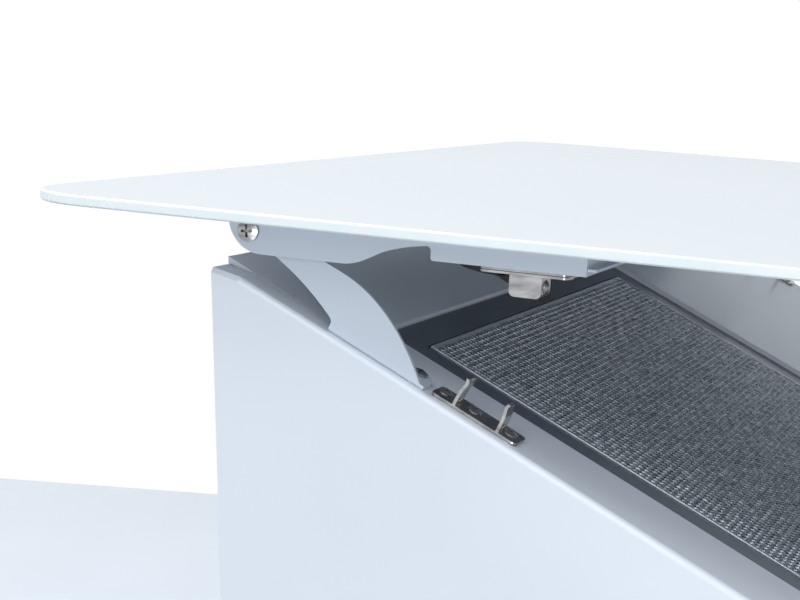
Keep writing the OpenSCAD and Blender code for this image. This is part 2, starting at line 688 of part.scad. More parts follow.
module pivot_washers() color("white") both_sides() translate([-arm_x, axis_y, axis_z])
    rotate([0, -90, 0]) difference() {
        cylinder(r = 4.1, h = arm_gap - 0.2);
        translate([0, 0, -1]) cylinder(r = pivot_d / 2 + 0.1, h = 4);
    }
module arm_screws() color(nickel) on_face() both_sides() for (s = foot_hole_s)
    translate([-foot_hole_x, -s, arm_t]) pan_screw(screw_r, 3, 1.6, 8);

// Strike on the rim

strike_x = body_half - 4;
strike_hole_s = [-14.4, -1.9, 13.2];
strike_hole_x = strike_x - strike_w / 2 - 1;
module strike_holes(r) both_sides() for (s = strike_hole_s)
    translate([-strike_hole_x, -strike_mid - s, -8]) cylinder(r = r, h = 20);
prong_w = 8;
// One prong's outline: straight foot, hollow for the ball, tip drawn in again
module prong_outline() {
    g = prong_gap / 2;
    t = strike_t;
    inner = [[g + 0.9, 0], [g + 0.9, 3], [g + 0.7, 6], [g + 0.1, 8.6], [g, 9.6], [g + 0.5, prong_h]];
    polygon(concat(inner, [for (i = [5:-1:0]) inner[i] + [t, 0]]));
}
module left_strike() color(nickel) on_face() difference() {
    union() {
        translate([-strike_x + strike_w / 2, -strike_mid - 0.3, 0]) linear_extrude(strike_t)
            round_rect(strike_w, strike_len, 2);
        for (m = [0, 1]) translate([0, -strike_mid, 0]) mirror([0, m, 0])
            profile(-strike_x + strike_w - prong_w, prong_w) prong_outline();
    }
    strike_holes(screw_r + 0.05);
}
module right_strike() mirror([1, 0, 0]) left_strike();
module strike_screws() color(nickel) on_face() both_sides() for (s = strike_hole_s)
    translate([-strike_hole_x, -strike_mid - s, strike_t]) pan_screw(screw_r, 2.7, 0.9, 7);

// Hinged glass panel

module door_glass() color("#eef4f8") on_door()
    translate([0, glass_rise - door_glass_h / 2, glass_ahead]) linear_extrude(glass_t)
        pane(glass_w, door_glass_h, glass_corner_r, gap_corner_r);
tail_n = glass_ahead - 3.6;
// Round end at the axis, straight belly, S-shaped tail, and the end wall of the rail
module cheek_outline() {
    centre_n = cheek_end_r - cheek_deep;
    polygon(concat(
        arc([cheek_end_r - cheek_end, centre_n], cheek_end_r,
            180 - asin((glass_ahead - centre_n) / cheek_end_r), 270),
        bow([rail_s - 32, -cheek_deep], [rail_s - 24, -cheek_deep + 2.4], -0.4, 4),
        bow([rail_s - 18, -cheek_deep + 5.5], [rail_s - 2, tail_n], 0.5, 6),
        arc([rail_s - 1.5, tail_n - 1.5], 1.5, 90, 0, 5), arc([rail_s + 1.1, rail_n + 1.1], 1.1, 180, 270, 5),
        [[rail_s + rail_w, rail_n], [rail_s + rail_w, glass_ahead]]));
}
module left_hinge_cheek() color(grey_paint) on_door() difference() {
    profile(-body_half, cheek_t) cheek_outline();
    translate([-body_half - 1, 0, 0]) rotate([0, 90, 0]) cylinder(r = pivot_d / 2 + pivot_clear, h = 5);
}
module right_hinge_cheek() mirror([1, 0, 0]) left_hinge_cheek();
rail_half = body_half - cheek_t;
rail_flange = 12;
module door_rail() color(grey_paint) on_door() difference() {
    union() {
        slab(-rail_half, rail_half, rail_s, rail_s + rail_w, rail_n, glass_ahead);
        slab(-rail_half + 4, rail_half - 4, rail_s - rail_flange, rail_s + rail_w + rail_flange,
            glass_ahead - sheet, glass_ahead);
        slab(-rail_half, rail_half, rail_s + rail_w - eps, rail_s + rail_w + 3, rail_n + 1.6, rail_n + 2.6);
    }
    slab(-rail_half - 1, rail_half + 1, rail_s + sheet, rail_s + rail_w - sheet,
        rail_n + sheet, glass_ahead + 1);
    catch_holes(catch_screw_r + 0.05);
}
catch_hole_s = [-12.9, 12.9];
module catch_holes(r) both_sides() for (s = catch_hole_s)
    translate([-ball_x, -catch_s - s, rail_n - 8]) cylinder(r = r, h = 12);
module ball_seat(side) translate([side * ball_x, -catch_s, ball_n]) {
    rotate([90, 0, 0]) cylinder(r = ball_r + run_clear, h = 2 * ball_s, center = true);
    for (d = [-1, 1]) translate([0, d * ball_s, 0]) sphere(ball_r + run_clear);
}
// Catch on one side: plate and cover plate with a groove between them, and the box for two balls
module catch(side) color(nickel) on_door() difference() {
    layer = (catch_plate_t - 0.3) / 2;
    union() {
        translate([side * (plate_x - 7), -catch_s, rail_n]) for (h = [0, layer + 0.3])
            translate([0, 0, -h - layer]) linear_extrude(layer) round_rect(14, catch_plate_len, 1.5);
        translate([side * (plate_x - 7), -catch_s, rail_n - catch_plate_t + layer / 2])
            linear_extrude(catch_plate_t - layer) round_rect(13, catch_plate_len - 1, 1);
        profile(side * ball_x - catch_box_w / 2, catch_box_w)
            translate([catch_s, rail_n - catch_plate_t - catch_box_deep / 2]) {
                round_rect(catch_box_len, catch_box_deep, 2);
                translate([-catch_box_len / 2, 0]) square([catch_box_len, catch_box_deep / 2]);
            }
    }
    ball_seat(side);
    catch_holes(catch_screw_r + 0.05);
}
module left_catch() catch(-1);
module right_catch() catch(1);
module catch_screws() color(nickel) on_door() both_sides() for (s = catch_hole_s)
    translate([-ball_x, -catch_s - s, rail_n - catch_plate_t]) rotate([180, 0, 0])
        pan_screw(catch_screw_r, 2.4, 1.2, 4);
module ball(side, d) color(nickel) on_door()
    translate([side * ball_x, -catch_s + d * ball_s, ball_n]) sphere(ball_r, $fn = 32);
module left_upper_ball() ball(-1, 1);
module left_lower_ball() ball(-1, -1);
module right_upper_ball() ball(1, 1);
module right_lower_ball() ball(1, -1);
bumper_w = 12;
bumper_foot = rim_drop - 0.4;
module door_bumpers() color(plastic) on_door() both_sides() profile(-plate_x + 16, bumper_w)
    polygon(concat([[catch_s - 30, rail_n], [catch_s - 30, rail_n - 1.5]],
        bow([catch_s - 28, rail_n - 3], [catch_s - 16, rail_n - 4.8], -0.4, 5),
        bow([catch_s - 14, rail_n - 5.4], [catch_s - 6, -bumper_foot + 4], -0.3, 5),
        [[catch_s - 5, -bumper_foot], [catch_s + 2, -bumper_foot], [catch_s + 2, rail_n]]));

// Lower glass, its frame and the push-buttons

low_frame_s0 = low_glass_s + 10;
low_frame_s1 = face_s1 - 10;
module lower_glass() color("#eef4f8") on_face() translate([0, -button_s, glass_h])
    linear_extrude(glass_t) difference() {
        pane(glass_w, low_glass_h, gap_corner_r, glass_corner_r);
        for (i = [0:button_count - 1]) translate([button_place(i), 0]) circle(button_d / 2 + button_gap);
    }
function button_place(i) = (i - (button_count - 1) / 2) * button_pitch;
module lower_frame() color(grey_paint) on_face() difference() {
    slab(-body_half + sheet, body_half - sheet, low_frame_s0, low_frame_s1, 0, glass_h);
    slab(-body_half + 2 * sheet, body_half - 2 * sheet, low_frame_s0 + sheet, low_frame_s1 - sheet,
        sheet, glass_h - sheet);
    slab(-body_half + 10, body_half - 10, low_frame_s0 + 8, low_frame_s1 - 8, sheet, glass_h + 1);
}
block_half = button_pitch * (button_count - 1) / 2 + 14;
block_h0 = sheet;
step_h = glass_h - 6;
collar_r = button_d / 2 + 1.4;
module button_block() color(plastic) on_face() difference() {
    translate([0, -button_s, block_h0]) linear_extrude(glass_h - block_h0) round_rect(2 * block_half, 26, 3);
    for (i = [0:button_count - 1]) translate([button_place(i), -button_s, 0]) {
        translate([0, 0, step_h - 1]) cylinder(r = button_d / 2 + run_clear, h = glass_h);
        translate([0, 0, step_h - 9]) cylinder(r = collar_r + 0.3, h = 9);
    }
}
module button(i) color("#c9ced3") on_face() translate([button_place(i), -button_s, 0]) {
    translate([0, 0, step_h - 3])
        cylinder(r = button_d / 2, h = glass_h + glass_t + button_out - step_h + 2.4);
    translate([0, 0, glass_h + glass_t + button_out - 0.6 - eps])
        cylinder(r1 = button_d / 2, r2 = button_d / 2 - 0.6, h = 0.6 + eps);
    translate([0, 0, step_h - 2.1]) cylinder(r = collar_r, h = 2);
}
module button_1() button(0);
module button_2() button(1);
module button_3() button(2);
module button_4() button(3);
module button_5() button(4);

// Lamps in the underside

lamp_barrel_r = lamp_d / 2 - 4;
lamp_y = -85;
module left_lamp_ring() color(nickel) translate([-lamp_x, lamp_y, z_bot]) rotate_extrude($fn = 96)
    difference() {
        union() {
            translate([lamp_barrel_r - 3, -1.6]) square([7, 1.6]);
            translate([lamp_barrel_r - 3, -1.6]) square([3, 19]);
        }
        translate([0, 1]) square([lamp_barrel_r - 2, 20]);
    }
module right_lamp_ring() mirror([1, 0, 0]) left_lamp_ring();
module left_lamp_lens() color("#f4f6f2") translate([-lamp_x, lamp_y, z_bot]) rotate_extrude($fn = 96) {
    translate([0, 1]) square([lamp_barrel_r - 2.1, 14]);
    translate([0, -1.2]) square([lamp_barrel_r - 3.1, 2.4]);
}
module right_lamp_lens() mirror([1, 0, 0]) left_lamp_lens();

// Chimney

module channel(w, d, h, lip) difference() {
    translate([-w / 2, -d, 0]) cube([w, d, h]);
    translate([-w / 2 + sheet, -d + sheet, -1]) cube([w - 2 * sheet, d - 2 * sheet, h + 2]);
    translate([-w / 2 + lip, -2 * sheet, -1]) cube([w - 2 * lip, 3 * sheet, h + 2]);
}
upper_in = sheet + chimney_gap;
module chimney_lower() color(white_paint) translate([0, 0, z_top])
    channel(chimney_w, chimney_d, chimney_low_h, 12);
module chimney_upper() color(white_paint) translate([0, -upper_in, z_top + 0.3])
    channel(chimney_w - 2 * upper_in, chimney_d - 2 * upper_in, chimney_up_h, 24);
module chimney_bracket() color(grey_paint) translate([0, -upper_in - sheet, z_top + chimney_up_h - 30]) {
    half = chimney_w / 2 - upper_in - sheet;
    difference() {
        translate([-half, -30, 0]) cube([2 * half, 30, 24]);
        translate([-half + 1.5, -31, -1]) cube([2 * half - 3, 29.5, 26]);
        for (x = [-1, 1]) translate([x * (half - 40), 1, 12]) rotate([90, 0, 0]) cylinder(r = 3, h = 8);
    }
}

body_wrap();
top_panel();
back_panel();
bottom_panel();
filter_seat();
filter_frame();
filter_mesh_front();
filter_mesh_back();
filter_latch_plate();
filter_latch();
scroll_housing();
inlet_ring();
inlet_guard();
impeller();
impeller_blades();
impeller_ring();
motor_shaft();
motor();
motor_bracket();
duct_collar();
left_flap();
right_flap();
cable_gland();
control_box();
left_hinge_arm();
right_hinge_arm();
pivot_screws();
pivot_nuts();
pivot_washers();
arm_screws();
left_strike();
right_strike();
strike_screws();
door_glass();
left_hinge_cheek();
right_hinge_cheek();
door_rail();
left_catch();
right_catch();
catch_screws();
door_bumpers();
left_upper_ball();
left_lower_ball();
right_upper_ball();
right_lower_ball();
lower_glass();
lower_frame();
button_block();
button_1();
button_2();
button_3();
button_4();
button_5();
left_lamp_ring();
right_lamp_ring();
left_lamp_lens();
right_lamp_lens();
chimney_lower();
chimney_upper();
chimney_bracket();
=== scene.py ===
# %% [markdown]
# # Dressing an inclined range hood
# The solid model gives every sheet, screw and ball its real size and place. This
# lesson loads it as a fixed frame and gives it the looks of the real hood: white
# powder coat, enamelled glass, bright nickel and a fine aluminium grease filter.

# %% Load the frame
import json
import math

import bmesh
import bpy
import numpy as np
from mathutils import Matrix, Vector


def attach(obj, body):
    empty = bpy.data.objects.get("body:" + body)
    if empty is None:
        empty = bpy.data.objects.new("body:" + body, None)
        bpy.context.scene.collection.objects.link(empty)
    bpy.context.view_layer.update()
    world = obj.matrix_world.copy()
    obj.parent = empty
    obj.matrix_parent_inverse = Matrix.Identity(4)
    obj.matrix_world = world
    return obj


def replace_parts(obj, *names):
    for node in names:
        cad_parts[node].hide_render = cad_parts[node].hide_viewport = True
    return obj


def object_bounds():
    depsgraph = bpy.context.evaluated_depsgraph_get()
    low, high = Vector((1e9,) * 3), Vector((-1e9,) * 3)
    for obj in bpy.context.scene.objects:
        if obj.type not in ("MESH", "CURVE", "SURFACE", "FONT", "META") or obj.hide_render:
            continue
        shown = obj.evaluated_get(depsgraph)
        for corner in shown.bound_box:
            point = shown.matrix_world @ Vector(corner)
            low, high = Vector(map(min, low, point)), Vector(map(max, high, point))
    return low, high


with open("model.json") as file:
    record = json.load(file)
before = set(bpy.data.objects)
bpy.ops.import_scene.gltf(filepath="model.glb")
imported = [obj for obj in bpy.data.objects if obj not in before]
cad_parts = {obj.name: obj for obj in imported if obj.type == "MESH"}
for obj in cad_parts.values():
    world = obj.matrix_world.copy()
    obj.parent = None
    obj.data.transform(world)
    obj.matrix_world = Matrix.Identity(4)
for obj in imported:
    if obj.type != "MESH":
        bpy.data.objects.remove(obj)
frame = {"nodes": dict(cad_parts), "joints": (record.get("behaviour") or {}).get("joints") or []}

cad_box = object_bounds()

# %% [markdown]
# ## The camera
# The photograph looks along the rim of the hood from its left side, rolled by a
# quarter turn: the front of the hood points up in the picture. Parallel edges of
# the body gave the camera's turn and focal length, so it is written as three axes
# and a place, measured from the hinge axis of the glass.

# %% Camera
MM = 0.001
SENSOR_MM, LENS_MM = 36.0, 81.3
hinge = next(j for j in frame["joints"] if j["name"] == "door_hinge")
hinge_y, hinge_z = hinge["pos_m"][1], hinge["pos_m"][2]

camera = bpy.data.objects.new("camera", bpy.data.cameras.new("camera"))
bpy.context.collection.objects.link(camera)
camera.data.sensor_width = SENSOR_MM
camera.data.lens = LENS_MM
camera.data.clip_start = 0.01
camera_axes = Matrix(((0.37632, 0.11059, -0.91987),
                      (0.0187, -0.99356, -0.1118),
                      (-0.9263, 0.02487, -0.37596)))
camera_place = Vector((-859.2 * MM, hinge_y - 46.7 * MM, hinge_z - 294.65 * MM))
camera.matrix_world = Matrix.Translation(camera_place) @ camera_axes.to_4x4()
bpy.context.scene.camera = camera
print("camera stands", round(camera_place.length, 3), "m from the wall holes")


# %% [markdown]
# ## Two helpers
# Hex colours are easy to compare with a photograph, but Blender mixes light in
# linear values, so one function turns them. Shader trees are built in code, and
# a second function adds one node with its inputs and settings in a single line.

# %% Colour and node helpers
def linear(code):
    """Linear RGBA of an sRGB hex colour such as "#e4ecf4"."""
    values = [int(code[i:i + 2], 16) / 255 for i in (1, 3, 5)]
    return [v / 12.92 if v <= 0.04045 else ((v + 0.055) / 1.055) ** 2.4 for v in values] + [1.0]


def add_node(tree, kind, inputs=None, **settings):
    """Adds a node; inputs are values or sockets by name or number, settings are its properties."""
    made = tree.nodes.new(kind)
    for name, value in settings.items():
        setattr(made, name, value)
    for name, value in (inputs or {}).items():
        if isinstance(value, bpy.types.NodeSocket):
            tree.links.new(value, made.inputs[name])
        else:
            made.inputs[name].default_value = value
    return made


# %% [markdown]
# ## Surroundings and floor
# The background is white, but white surroundings that also light the object would
# wash out the deep shade between glass and body. Light Path tells the kinds of ray
# apart: the camera sees white, mirrors and glass see a nearly white paper, and the
# rays that shade the object see a dim sky. The floor lies 3.2 m below, deeper than
# in a kitchen, so that the hood's underside can be looked at too.

# %% Sky and floor
def seen_directly(tree):
    """Socket that is 1 for camera, glossy and transmission rays, and 0 for the rest."""
    rays = add_node(tree, "ShaderNodeLightPath")
    either = add_node(
        tree, "ShaderNodeMath",
        {0: rays.outputs["Is Camera Ray"], 1: rays.outputs["Is Glossy Ray"]}, operation="MAXIMUM")
    return add_node(
        tree, "ShaderNodeMath", {0: either.outputs[0], 1: rays.outputs["Is Transmission Ray"]},
        operation="MAXIMUM").outputs[0]


SKY_LEVEL, PAPER_GLOW = 0.08, 0.45
scene = bpy.context.scene
scene.view_settings.view_transform = "Standard"
scene.world = bpy.data.worlds.new("studio")
scene.world.use_nodes = True
sky = scene.world.node_tree
sky.nodes.clear()
dim = add_node(sky, "ShaderNodeBackground", {"Color": linear("#dce6f2"), "Strength": SKY_LEVEL})
pale = add_node(sky, "ShaderNodeBackground", {"Color": linear("#e9eff5"), "Strength": 1.0})
white = add_node(sky, "ShaderNodeBackground", {"Color": linear("#ffffff"), "Strength": 1.0})
mirrored = add_node(sky, "ShaderNodeMixShader",
                    {0: seen_directly(sky), 1: dim.outputs[0], 2: pale.outputs[0]})
camera_ray = add_node(sky, "ShaderNodeLightPath").outputs["Is Camera Ray"]
either = add_node(sky, "ShaderNodeMixShader",
                  {0: camera_ray, 1: mirrored.outputs[0], 2: white.outputs[0]})
add_node(sky, "ShaderNodeOutputWorld", {"Surface": either.outputs[0]})

FLOOR_BELOW, FLOOR_HALF = 3.2, 16.0
floor_z = cad_box[0][2] - FLOOR_BELOW
floor_mesh = bpy.data.meshes.new("floor")
floor_mesh.from_pydata([(x * FLOOR_HALF, y * FLOOR_HALF, floor_z)
                        for x, y in ((-1, -1), (1, -1), (1, 1), (-1, 1))], [], [(0, 1, 2, 3)])
floor = bpy.data.objects.new("floor", floor_mesh)
bpy.context.collection.objects.link(floor)

paper = bpy.data.materials.new("pale_paper")
paper.use_nodes = True
tree = paper.node_tree
tree.nodes.clear()
matt = add_node(tree, "ShaderNodeBsdfDiffuse", {"Color": linear("#e8ecf0")})
glow = add_node(tree, "ShaderNodeEmission", {"Color": linear("#ffffff"), "Strength": PAPER_GLOW})
lifted = add_node(tree, "ShaderNodeAddShader", {0: matt.outputs[0], 1: glow.outputs[0]})
either = add_node(tree, "ShaderNodeMixShader",
                  {0: seen_directly(tree), 1: matt.outputs[0], 2: lifted.outputs[0]})
add_node(tree, "ShaderNodeOutputMaterial", {"Surface": either.outputs[0]})
floor_mesh.materials.append(paper)
print("floor at", round(floor_z, 3), "m, sky at", SKY_LEVEL)


# %% [markdown]
# ## Lamps
# Large square lamps make plain soft light. A smaller one stands at the left, level
# with the hood, because the photograph's side wall and arm are bright while the rim,
# which the open glass covers, is several times darker. Two more beside it and one at
# the front shine past the edge of the glass, so its soft shade falls on the wall
# beside the rim. One above the front lights the glass and the chimney, a small low
# one draws the bright line on the folds, and one at the right keeps the far side
# readable. Each has a place, a target, a size in metres, watts and a colour.

# %% Soft lamps
def lamp(name, place, target, size, watts, colour):
    """Soft square lamp at a place, turned towards a target, all in metres."""
    data = bpy.data.lights.new(name, "AREA")
    data.size, data.energy, data.color = size, watts, linear(colour)[:3]
    made = bpy.data.objects.new(name, data)
    made.location = place
    made.rotation_mode = "QUATERNION"
    made.rotation_quaternion = (Vector(target) - Vector(place)).to_track_quat("-Z", "Y")
    bpy.context.collection.objects.link(made)


AIM, RIGHT_AIM = (-0.28, -0.25, 0.0), (0.28, -0.2, 0.0)
LAMPS = {"left_lamp": ((-2.2, -0.1, -0.25), AIM, 0.5, 12, "#f6f9ff"),
         "left_back_lamp": ((-1.9, 0.7, -0.2), AIM, 1.3, 9, "#f6f9ff"),
         "left_front_lamp": ((-1.7, -1.3, -0.2), AIM, 1.3, 10, "#f6f9ff"),
         "front_lamp": ((-1.2, -2.0, 0.0), AIM, 1.3, 10, "#f6f9ff"),
         "top_lamp": ((-0.5, -2.3, 1.3), AIM, 1.3, 44, "#ffffff"),
         "low_lamp": ((-1.5, -0.4, -1.3), AIM, 0.5, 1.5, "#ffffff"),
         "right_lamp": ((1.9, 0.8, 0.2), RIGHT_AIM, 1.3, 24, "#ffffff")}
for name, numbers in LAMPS.items():
    lamp(name, *numbers)
print(len(LAMPS), "lamps")


# %% [markdown]
# ## What every finish starts from
# Each material reads the object's own coordinates, in metres, so a grain of so
# many millimetres has the scale 1000 divided by that number. The helper gives an
# empty tree and those coordinates; each finish below then adds what its making
# left on the real surface.

# %% Empty finish
finishes = {}


def start(name):
    """New material with an empty tree, kept under its name; returns its tree and coordinates."""
    made = bpy.data.materials.new(name)
    made.use_nodes = True
    made.node_tree.nodes.clear()
    finishes[name] = made
    return made.node_tree, add_node(made.node_tree, "ShaderNodeTexCoord").outputs["Object"]


def drift(tree, place, first, second, size_mm):
    """Colour that wanders between two hex colours in clouds of a size in mm."""
    cloud = add_node(tree, "ShaderNodeTexNoise",
                     {"Vector": place, "Scale": 1000 / size_mm, "Detail": 3.0})
    spread = add_node(tree, "ShaderNodeMapRange", {0: cloud.outputs["Fac"], 1: 0.3, 2: 0.7})
    return add_node(
        tree, "ShaderNodeMix", {0: spread.outputs[0], 6: linear(first), 7: linear(second)},
        data_type="RGBA").outputs[2]


def worn_edges(tree, under, rubbed, width_mm):
    """Colour that turns to a rubbed one where a rounded normal parts from the true one."""
    rounded = add_node(tree, "ShaderNodeBevel", {"Radius": width_mm * MM}, samples=4)
    true = add_node(tree, "ShaderNodeNewGeometry")
    alike = add_node(
        tree, "ShaderNodeVectorMath", {0: rounded.outputs[0], 1: true.outputs["Normal"]},
        operation="DOT_PRODUCT")
    worn = add_node(tree, "ShaderNodeMapRange",
                    {0: alike.outputs["Value"], 1: 0.99, 2: 0.8, 3: 0.0, 4: 0.7})
    return add_node(tree, "ShaderNodeMix", {0: worn.outputs[0], 6: under, 7: linear(rubbed)},
                    data_type="RGBA").outputs[2]


# %% [markdown]
# ## Powder-coated steel
# Body and chimney are steel sheet with a baked polyester powder coat. The powder
# melts into a skin with a faint orange peel about 1.2 mm wide, which softens the
# shine and leaves the colour even. The hinge parts and the rail have the same coat
# in light grey, and the filter's seat has it in dark grey with a coarser peel. Powder
# draws back from sharp edges while it melts, so the coat is thinner there. Wiping
# leaves patches of about 70 mm that shine a little more or less.

# %% Powder coat
CLOUD_MM, WIPED_MM, EDGE_MM = 110, 1000 / 14, 0.5


def powder_coat(name, colour, second, edge, roughness, peel_mm, height_mm):
    """Baked powder on steel sheet: dielectric, IOR about 1.5, satin."""
    tree, place = start(name)
    peel = add_node(tree, "ShaderNodeTexNoise",
                    {"Vector": place, "Scale": 1000 / peel_mm, "Detail": 1.5})
    raised = add_node(tree, "ShaderNodeBump", {"Height": peel.outputs["Fac"], "Strength": 0.35,
                                               "Distance": height_mm * MM})
    wiped = add_node(tree, "ShaderNodeTexNoise",
                     {"Vector": place, "Scale": 1000 / WIPED_MM, "Detail": 4.0})
    tint = worn_edges(tree, drift(tree, place, colour, second, CLOUD_MM), edge, EDGE_MM)
    satin = add_node(tree, "ShaderNodeMapRange",
                     {0: wiped.outputs["Fac"], 3: roughness - 0.06, 4: roughness + 0.06})
    shader = add_node(tree, "ShaderNodeBsdfPrincipled", {
        "Base Color": tint, "IOR": 1.5, "Normal": raised.outputs[0],
        "Roughness": satin.outputs[0], "Coat Weight": 0.35, "Coat Roughness": 0.16})
    add_node(tree, "ShaderNodeOutputMaterial", {"Surface": shader.outputs[0]})


powder_coat("powder_coated_steel_white", "#dfe6ee", "#e4ebf2", "#d2dae3", 0.40, 1.2, 0.05)
powder_coat("powder_coated_steel_grey", "#c6d0db", "#ccd5df", "#d9e0e8", 0.36, 1.2, 0.05)
powder_coat("powder_coated_steel_dark", "#4a545f", "#535d68", "#6a747f", 0.44, 1.6, 0.08)
print(list(finishes))


# %% [markdown]
# ## Bright nickel
# Catches, strikes, balls and screws are steel with bright nickel plate. Nickel is
# slightly warm and mirrors its surroundings in stripes, since the strip was rolled
# and polished along one way. The real lines are about 0.1 mm apart and are drawn as
# soft bands 3 mm wide, so that they show. Ambient Occlusion paints shade into the
# colour of grooves and recesses within a few mm. Zinc plate on the motor is duller
# and bluer. The filter's frame is rolled aluminium, whose rolling lines of 0.05 mm
# are drawn 0.6 mm wide; its thin oxide makes it a little less metallic.

# %% Nickel, zinc and aluminium
def plated(name, colour, second, roughness, line_mm, stretch, painted_shade_mm, metallic=1.0):
    """Plated or rolled metal, default IOR, with drawn lines and painted shade darkening hollows
    within a few mm.
    """
    tree, place = start(name)
    drawn = add_node(tree, "ShaderNodeMapping", {"Vector": place, "Scale": stretch})
    lines = add_node(tree, "ShaderNodeTexNoise",
                     {"Vector": drawn.outputs[0], "Scale": 1000 / line_mm, "Detail": 2.0})
    raised = add_node(tree, "ShaderNodeBump", {"Height": lines.outputs["Fac"], "Strength": 0.25,
                                               "Distance": 0.02 * MM})
    # Painted shade: Ambient Occlusion darkens the colour in grooves and recesses.
    shade = add_node(tree, "ShaderNodeAmbientOcclusion", {"Distance": painted_shade_mm * MM}, samples=6)
    painted_shade = add_node(tree, "ShaderNodeMapRange",
                     {0: shade.outputs["AO"], 1: 0.15, 2: 0.75, 3: 0.12, 4: 1.0})
    strong = add_node(tree, "ShaderNodeMapRange", {0: lines.outputs["Fac"], 1: 0.35, 2: 0.65})
    stripes = add_node(
        tree, "ShaderNodeMix", {0: strong.outputs[0], 6: linear(colour), 7: linear(second)},
        data_type="RGBA")
    shaded = add_node(tree, "ShaderNodeMix", {0: 1.0, 6: stripes.outputs[2], 7: painted_shade.outputs[0]},
                      data_type="RGBA", blend_type="MULTIPLY")
    satin = add_node(tree, "ShaderNodeMapRange",
                     {0: lines.outputs["Fac"], 3: roughness - 0.05, 4: roughness + 0.07})
    shader = add_node(tree, "ShaderNodeBsdfPrincipled", {
        "Base Color": shaded.outputs[2], "Metallic": metallic, "Normal": raised.outputs[0],
        "Roughness": satin.outputs[0]})
    add_node(tree, "ShaderNodeOutputMaterial", {"Surface": shader.outputs[0]})


plated("bright_nickel_plate", "#999796", "#bdbbb9", 0.22, 3.0, (1.0, 1.0, 0.3), 1.6)
plated("zinc_plated_steel", "#9ea4ab", "#bcc1c6", 0.34, 2.5, (1.0, 0.5, 1.0), 4.0)
plated("rolled_aluminium_sheet", "#c3c9cf", "#dce0e4", 0.3, 0.6, (0.06, 1.0, 1.0), 0.6, 0.7)
print(len(finishes), "finishes")


# %% [markdown]
# ## Moulded plastics
# Blower, collar and button block are black ABS from a spark-eroded mould, whose
# grain of about 0.4 mm is drawn at 0.8 mm. The control box is white ABS with a
# finer grain. The bumpers are moulded rubber, duller and deeper black. The melt's
# flow leaves faint clouds of 45 mm in the colour.

# %% ABS and rubber
FLOW_MM = 45


def moulded(name, colour, second, roughness, grain_mm, strength):
    """Moulded plastic or rubber, IOR about 1.54, with an eroded grain."""
    tree, place = start(name)
    cells = add_node(tree, "ShaderNodeTexVoronoi", {"Vector": place, "Scale": 1000 / grain_mm})
    raised = add_node(tree, "ShaderNodeBump", {"Height": cells.outputs["Distance"],
                                               "Strength": strength, "Distance": 0.08 * MM})
    satin = add_node(tree, "ShaderNodeMapRange",
                     {0: cells.outputs["Distance"], 3: roughness - 0.05, 4: roughness + 0.08})
    shader = add_node(tree, "ShaderNodeBsdfPrincipled", {
        "Base Color": drift(tree, place, colour, second, FLOW_MM), "IOR": 1.54,
        "Normal": raised.outputs[0], "Roughness": satin.outputs[0]})
    add_node(tree, "ShaderNodeOutputMaterial", {"Surface": shader.outputs[0]})


moulded("moulded_black_abs", "#1a1c1f", "#212326", 0.46, 0.8, 0.5)
moulded("moulded_white_abs", "#e2e2dd", "#e8e8e4", 0.42, 0.7, 0.3)
moulded("moulded_black_rubber", "#090a0b", "#111214", 0.75, 0.6, 0.6)


# %% [markdown]
# ## Silver lacquer and opal acrylic
# The push-buttons are ABS under a silver lacquer: aluminium flakes of 0.1 mm,
# drawn at 0.4 mm, lie at slightly different angles under a clear coat. The lamp
# lenses are opal acrylic, which scatters light inside, with a prismatic grain of
# 2.5 mm on the face that spreads the light over the hob.

# %% Buttons and lenses
tree, place = start("silver_lacquered_abs")
FLAKE_MM, PRISM_MM = 0.4, 2.5
flakes = add_node(tree, "ShaderNodeTexVoronoi", {"Vector": place, "Scale": 1000 / FLAKE_MM})
glint = add_node(
    tree, "ShaderNodeMix", {0: flakes.outputs["Color"], 6: linear("#aeb3b9"), 7: linear("#cbcfd4")},
    data_type="RGBA")
tilted = add_node(tree, "ShaderNodeBump", {"Height": flakes.outputs["Distance"], "Strength": 0.25,
                                           "Distance": 0.03 * MM})
shader = add_node(tree, "ShaderNodeBsdfPrincipled", {
    "Base Color": glint.outputs[2], "Metallic": 0.7, "Roughness": 0.34, "Normal": tilted.outputs[0],
    "Coat Weight": 0.8, "Coat Roughness": 0.08})
add_node(tree, "ShaderNodeOutputMaterial", {"Surface": shader.outputs[0]})

tree, place = start("opal_acrylic")
prisms = add_node(tree, "ShaderNodeTexVoronoi",
                  {"Vector": place, "Scale": 1000 / PRISM_MM}, feature="SMOOTH_F1")
raised = add_node(tree, "ShaderNodeBump", {"Height": prisms.outputs["Distance"], "Strength": 0.6,
                                           "Distance": 0.4 * MM})
shader = add_node(tree, "ShaderNodeBsdfPrincipled", {
    "Base Color": drift(tree, place, "#eef0eb", "#f3f5f0", 30), "Roughness": 0.3, "IOR": 1.49,
    "Normal": raised.outputs[0], "Subsurface Weight": 0.35, "Subsurface Scale": 0.004})
add_node(tree, "ShaderNodeOutputMaterial", {"Surface": shader.outputs[0]})

# %% [markdown]
# ## Enamelled glass
# Each panel is 4 mm float glass with white enamel fused to its back. From the
# front, light passes the clear glass, so a sharp reflection lies over the soft
# white: a principled shader with a full clear coat of IOR 1.52 gives just that.
# The back shows the enamel itself, a screen print with a faint weave of 0.5 mm.
# The edge is ground with a diamond wheel: lines of 0.2 mm, drawn at 0.8 mm, and the
# cool tint of glass.

# %% Glass finishes
WEAVE_MM, WHEEL_MM = 0.5, 0.8
tree, place = start("enamelled_float_glass")
shader = add_node(tree, "ShaderNodeBsdfPrincipled", {
    "Base Color": drift(tree, place, "#e9eff4", "#edf2f6", 240), "Roughness": 0.32, "IOR": 1.52,
    "Coat Weight": 1.0, "Coat Roughness": 0.015, "Coat IOR": 1.52})
add_node(tree, "ShaderNodeOutputMaterial", {"Surface": shader.outputs[0]})

